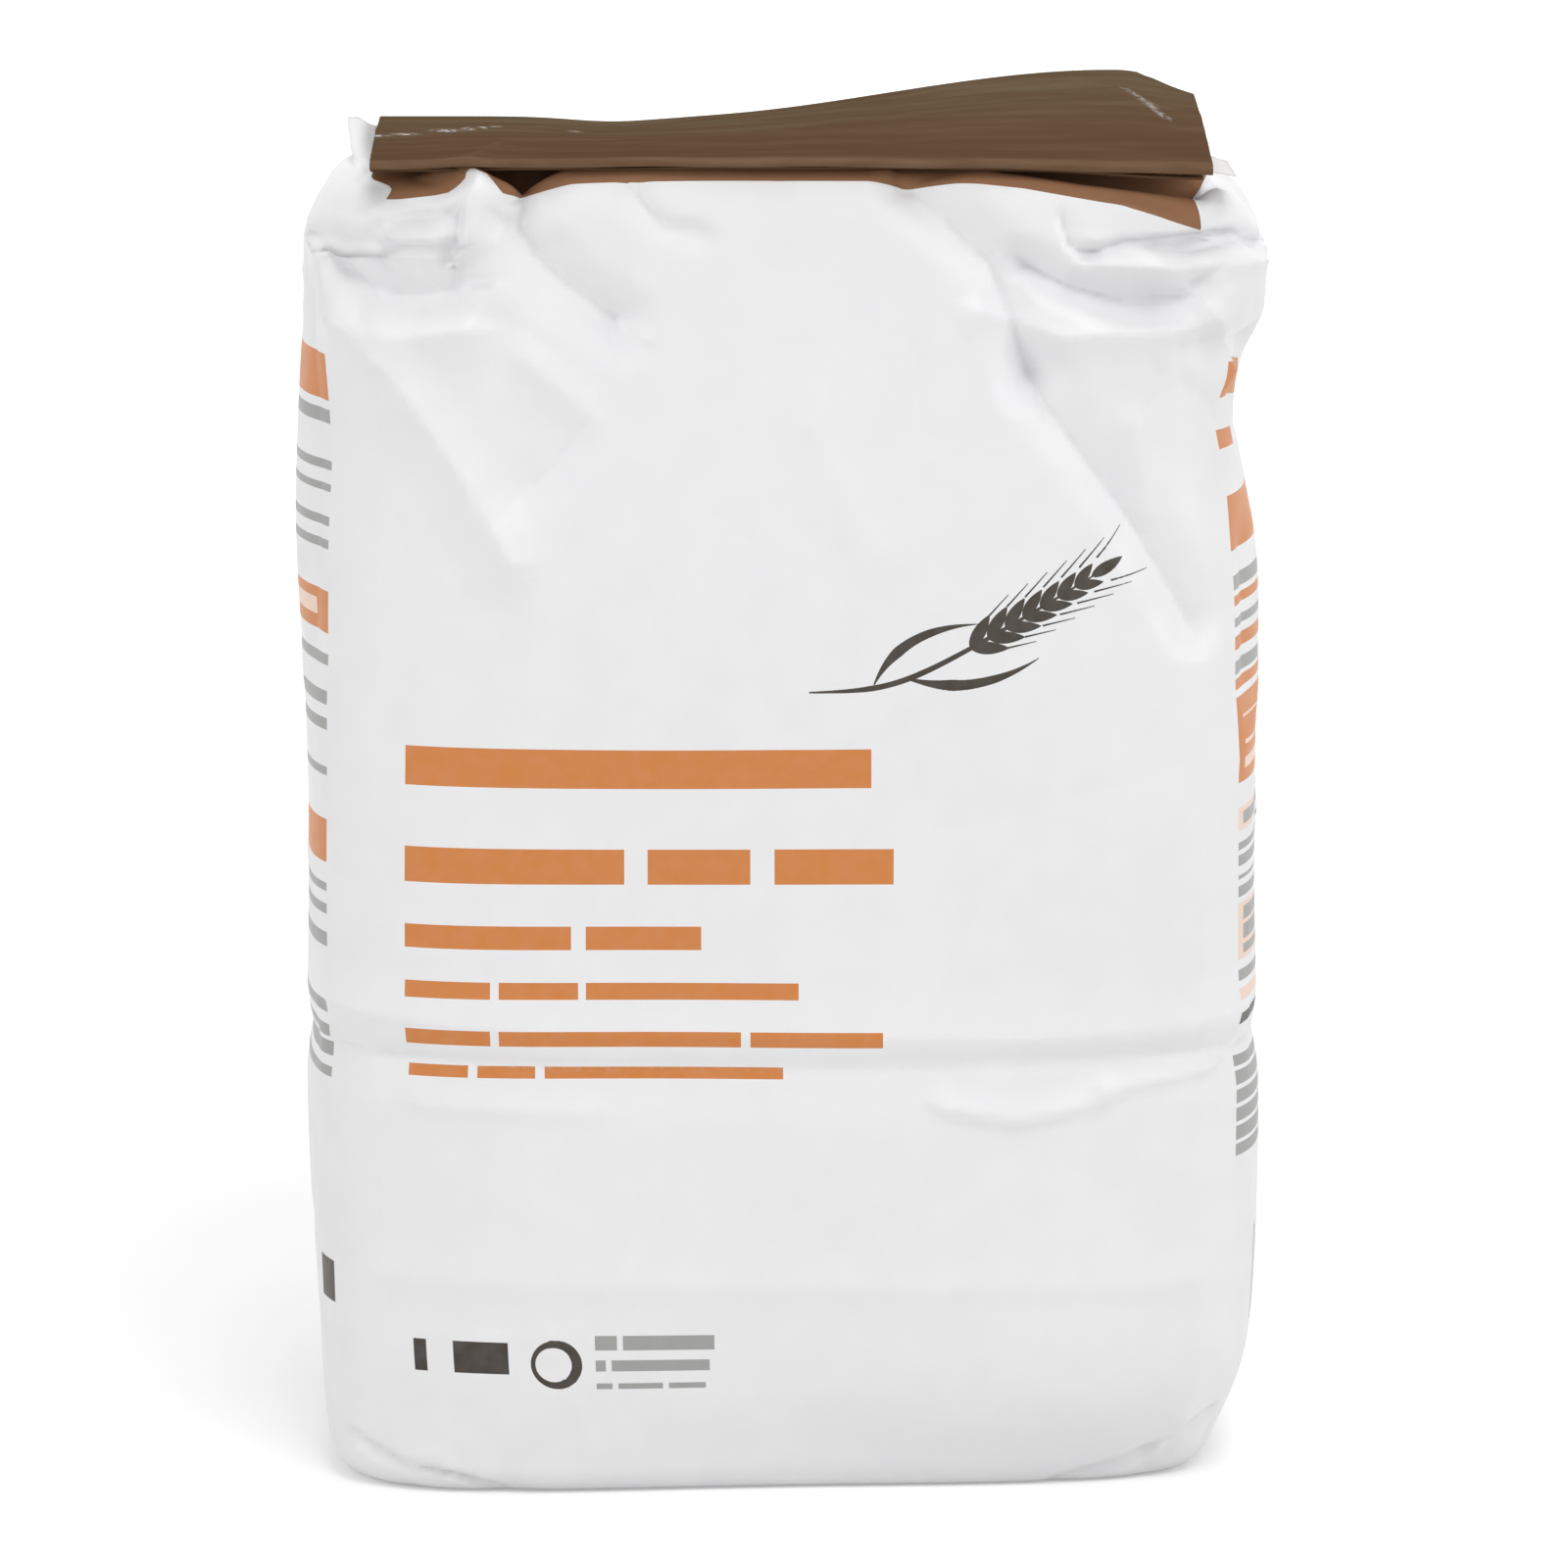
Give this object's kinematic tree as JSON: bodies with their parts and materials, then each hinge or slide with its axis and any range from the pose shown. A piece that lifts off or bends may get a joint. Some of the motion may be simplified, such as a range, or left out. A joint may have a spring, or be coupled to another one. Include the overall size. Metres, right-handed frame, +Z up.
{
  "type": "bag of flour",
  "caption": "Shut paper bag of flour, standing on a flat block bottom, with full rounded sides and a top closed by a folded-over paper fin.",
  "frame": {"origin": "on the surface the bag stands on, under the middle of its box", "axes": "+Z up, the broad front panel faces -Y, +X to the right seen from the front"},
  "size_m": [0.1128, 0.0762, 0.164],
  "materials": {
    "paper": "smooth coated white paper with brown and orange print"
  },
  "bodies": {
    "root": {"flour_bag": "paper"}
  },
  "joints": []
}
